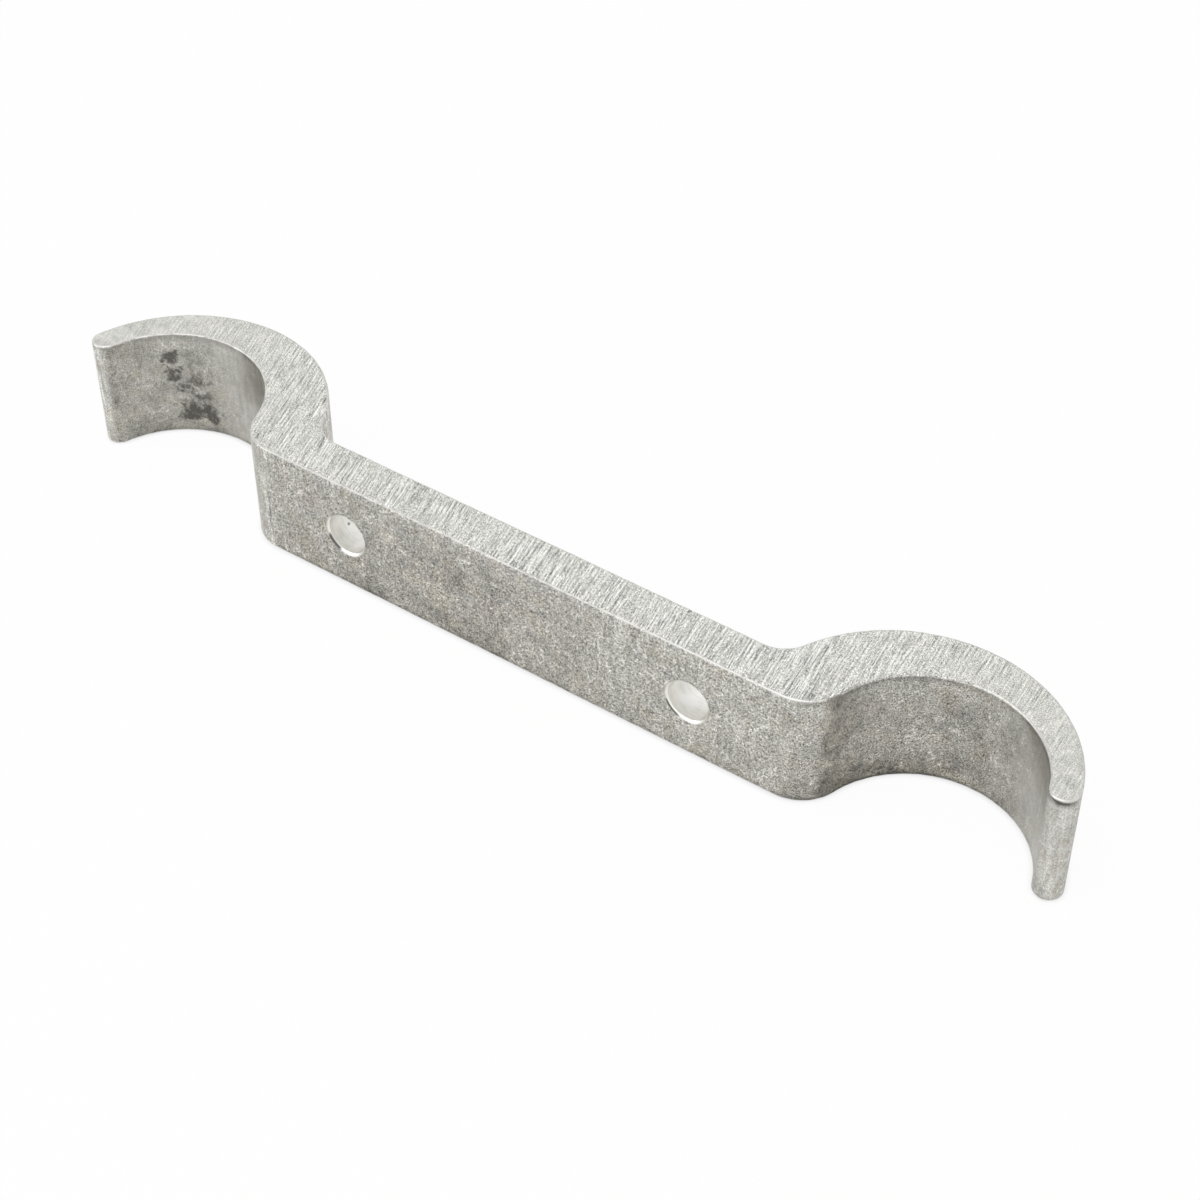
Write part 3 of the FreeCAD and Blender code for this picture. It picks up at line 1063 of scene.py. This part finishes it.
def shaded_arc(add, bar, side, facing, away):
    """Painted shade: a dark arc at the lower left of each hole's chamfer, wider on the left hole.
    """
    left, right = (bar.hole_radius + share * bar.hole_chamfer for share in ARC_STARTS)
    start = add(MAP_RANGE, {"Value": side, "From Min": -1.0, "To Min": left, "To Max": right})
    end = add("ADD", (start, ARC_BORDER))
    beyond = add(MAP_RANGE, {"Value": away, "From Min": start, "From Max": end})
    within = add(MAP_RANGE, {"Value": facing, "From Min": 0.88, "From Max": 0.95, "To Max": 0.95})
    return add("MULTIPLY", (within, beyond))


def bore_speck(add, bar, place):
    """One dark speck on the wall of the left hole, halfway through."""
    centre = (
        bar.hole_radius * math.cos(SPECK_TURN) - bar.hole_spacing / 2,
        bar.front_y + SPECK_DEPTH,
        bar.hole_radius * math.sin(SPECK_TURN) + bar.slice_width / 2,
    )
    gap = add(VECTOR_MATH, (place, centre), operation="DISTANCE")
    return add(MAP_RANGE, {
        "Value": gap.outputs["Value"], "From Min": SPECK_RADIUS, "From Max": SPECK_CORE,
        "To Max": 0.9,
    })


def drilled_bore(add, colours, bar):
    """Freshly drilled aluminium: bright, smooth, with faint turning rings and painted shade arcs.

    Painted shade dims the wall away from the lower left, and the tumbling dulls the chamfer's rim.
    """
    place = add("ShaderNodeTexCoord").outputs["Object"]
    rings = add("ShaderNodeMapping", {"Vector": place, "Scale": TURNED})
    level = varied(add, 1.0, rings, scale_for(0.4), strength=0.3)
    level = varied(add, level, place, scale_for(2), strength=0.4)
    base = add(VECTOR_MATH, {0: colours.bore, "Scale": level}, operation="SCALE")
    side, beside, above, away = hole_place(add, place, bar.hole_spacing, bar.slice_width)
    facing = hole_facing(add, beside, above)
    # Painted shade: the bore wall is darker away from its lower left.
    bore_shade = add(MAP_RANGE, {"Value": facing, "From Min": 0.3, "From Max": -0.2, "To Max": 0.4})
    start, end = (bar.hole_radius + share * bar.hole_chamfer for share in DULL_RIM)
    rim = add(MAP_RANGE, {"Value": away, "From Min": start, "From Max": end, "To Max": 0.65})
    base = layered(add, base, (
        (bore_shade, colours.stain), (rim, colours.wall),
        # Painted shade: a dark arc on the chamfer's lower left.
        (shaded_arc(add, bar, side, facing, away), colours.smudge),
        (bore_speck(add, bar, place), colours.grime),
    ))
    return add("ShaderNodeBsdfPrincipled", {"Base Color": base, "Metallic": 1.0, "Roughness": 0.4})


# ---- Operators ----


def new_object(name, data):
    """Object with this data, linked to the scene."""
    made = bpy.data.objects.new(name, data)
    bpy.context.scene.collection.objects.link(made)
    return made


def tree_values(*groups):
    """Every setting of the groups, under the label that a tree's input for it has."""
    return {
        key.replace("_", " ").title(): getattr(group, key)
        for group in groups for key in type(group).__annotations__
    }


class MakeHookedBar(bpy.types.Operator):
    """Build the sawn, tumbled and drilled bar in place of its plain CAD solid"""

    bl_idname = "object.make_hooked_bar"
    bl_label = "Hooked bar"

    def execute(self, context):
        scene = context.scene
        bar, surface, colours = scene.bar_sizes, scene.surface_sizes, scene.finish_colours
        piece = new_object("sawn_hooked_bar", blank_mesh(bar, surface))
        run_tree(piece, machining_tree(), tree_values(bar, surface) | {
            "Tumbled Wall": new_material("tumbled_extruded_aluminium", tumbled_wall, colours, bar),
            "Sawn Face": new_material("sawn_aluminium", sawn_face, colours),
            "Drilled Bore": new_material("drilled_aluminium", drilled_bore, colours, bar),
        })
        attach(piece, "root")
        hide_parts("hooked_bar")
        return {"FINISHED"}


def seen_by(add):
    """Light Path values: 1 for camera rays, and 1 for rays mirrored in metal or through glass."""
    rays = add("ShaderNodeLightPath").outputs
    mirrored = add("MAXIMUM", {0: rays["Is Glossy Ray"], 1: rays["Is Transmission Ray"]})
    return rays["Is Camera Ray"], mirrored


def white_surround(studio):
    """World that is white to the camera and in metal, and lights matt surfaces at a plain level."""
    world = bpy.data.worlds.new("white_surround")
    add = adder_for(world)
    camera, mirrored = seen_by(add)
    seen = add("MAXIMUM", (camera, mirrored))
    strength = add(MAP_RANGE, {"Value": seen, "To Min": studio.sky, "To Max": 1.0})
    sky = add("ShaderNodeBackground", {"Color": (1.0, 1.0, 1.0, 1.0), "Strength": strength})
    add("ShaderNodeOutputWorld", {"Surface": sky})
    return world


def table_surface(add, studio):
    """Matt white table top: white to the camera, with a faint shadow, dark close to the metal."""
    camera, mirrored = seen_by(add)
    share = add("MULTIPLY", (camera, studio.glow_share))
    mirror = add("MULTIPLY", (mirrored, studio.mirror_share))
    share = add("MAXIMUM", (share, mirror))
    matt = add("ShaderNodeBsdfDiffuse", {"Color": rgba(studio.floor)})
    open_air = add("ShaderNodeAmbientOcclusion", {"Distance": studio.contact_reach}, samples=4)
    glow = add(MAP_RANGE, {
        "Value": open_air.outputs["AO"], "From Max": 0.6, "To Min": studio.contact_level,
    })
    lit = add("ShaderNodeEmission", {"Strength": glow})
    return add("ShaderNodeMixShader", (share, matt, lit))


def add_table(studio):
    """Wide table top just under the part."""
    signs = ((-1, -1), (1, -1), (1, 1), (-1, 1))
    corners = [(x * TABLE_HALF, y * TABLE_HALF, -TABLE_DROP) for x, y in signs]
    mesh = bpy.data.meshes.new("table_top")
    mesh.from_pydata(corners, [], [(0, 1, 2, 3)])
    mesh.materials.append(new_material("white_table", table_surface, studio))
    table = new_object("table_top", mesh)


def aimed(name, data, place, aim):
    """Lamp or camera at a place, on a level roll, that looks at the aim point."""
    made = new_object(name, data)
    made.location = place
    made.rotation_euler = (place - aim).to_track_quat("Z", "Y").to_euler()
    return made


def add_lamp(name, place, aim, size, watts):
    """Soft square lamp that faces the aim point."""
    lamp = bpy.data.lights.new(name, "AREA")
    lamp.size = size
    lamp.energy = watts
    aimed(name, lamp, Vector(place), aim)


def add_camera(studio, aim):
    """Camera that looks at the aim point from the studio's azimuth and elevation."""
    lens = bpy.data.cameras.new("camera")
    lens.lens = studio.lens
    lens.sensor_width = SENSOR_WIDTH
    lens.clip_start = 10 * MM
    level = math.cos(studio.elevation)
    back = Vector((
        math.sin(studio.azimuth) * level, -math.cos(studio.azimuth) * level,
        math.sin(studio.elevation),
    ))
    bpy.context.scene.camera = aimed("camera", lens, aim + back * studio.distance, aim)


class MakeStudio(bpy.types.Operator):
    """Add the white table, the soft lamps and the camera"""

    bl_idname = "scene.make_studio"
    bl_label = "Studio"

    def execute(self, context):
        studio = context.scene.studio_settings
        aim = Vector(studio.aim)
        add_table(studio)
        context.scene.world = white_surround(studio)
        for name, place, size, watts in LAMPS:
            add_lamp(name, place, aim, size, watts)
        add_camera(studio, aim)
        context.scene.view_settings.view_transform = "Standard"
        return {"FINISHED"}


class PipeWrenchPanel(bpy.types.Panel):
    """Sizes, colours and the buttons that build the part and its studio"""

    bl_idname = "VIEW3D_PT_pipe_wrench"
    bl_label = "Pipe wrench"
    bl_space_type = "VIEW_3D"
    bl_region_type = "UI"
    bl_category = "Pipe wrench"

    def draw(self, context):
        for name, group, operator in SECTIONS:
            box = self.layout.box()
            settings = getattr(context.scene, name)
            for key in group.__annotations__:
                box.prop(settings, key)
            if operator is not None:
                box.operator(operator.bl_idname)


SECTIONS = (
    ("bar_sizes", BarSizes, None),
    ("surface_sizes", SurfaceSizes, None),
    ("finish_colours", FinishColours, MakeHookedBar),
    ("studio_settings", StudioSettings, MakeStudio),
)
CLASSES = (
    BarSizes, SurfaceSizes, FinishColours, StudioSettings,
    MakeHookedBar, MakeStudio, PipeWrenchPanel,
)


def register():
    for each in CLASSES:
        bpy.utils.register_class(each)
    for name, group, _ in SECTIONS:
        setattr(bpy.types.Scene, name, bpy.props.PointerProperty(type=group))


def unregister():
    for name, _, _ in SECTIONS:
        delattr(bpy.types.Scene, name)
    for each in reversed(CLASSES):
        bpy.utils.unregister_class(each)


def main():
    register()
    bpy.ops.object.make_hooked_bar()
    bpy.ops.scene.make_studio()


if __name__ == "__main__":
    main()
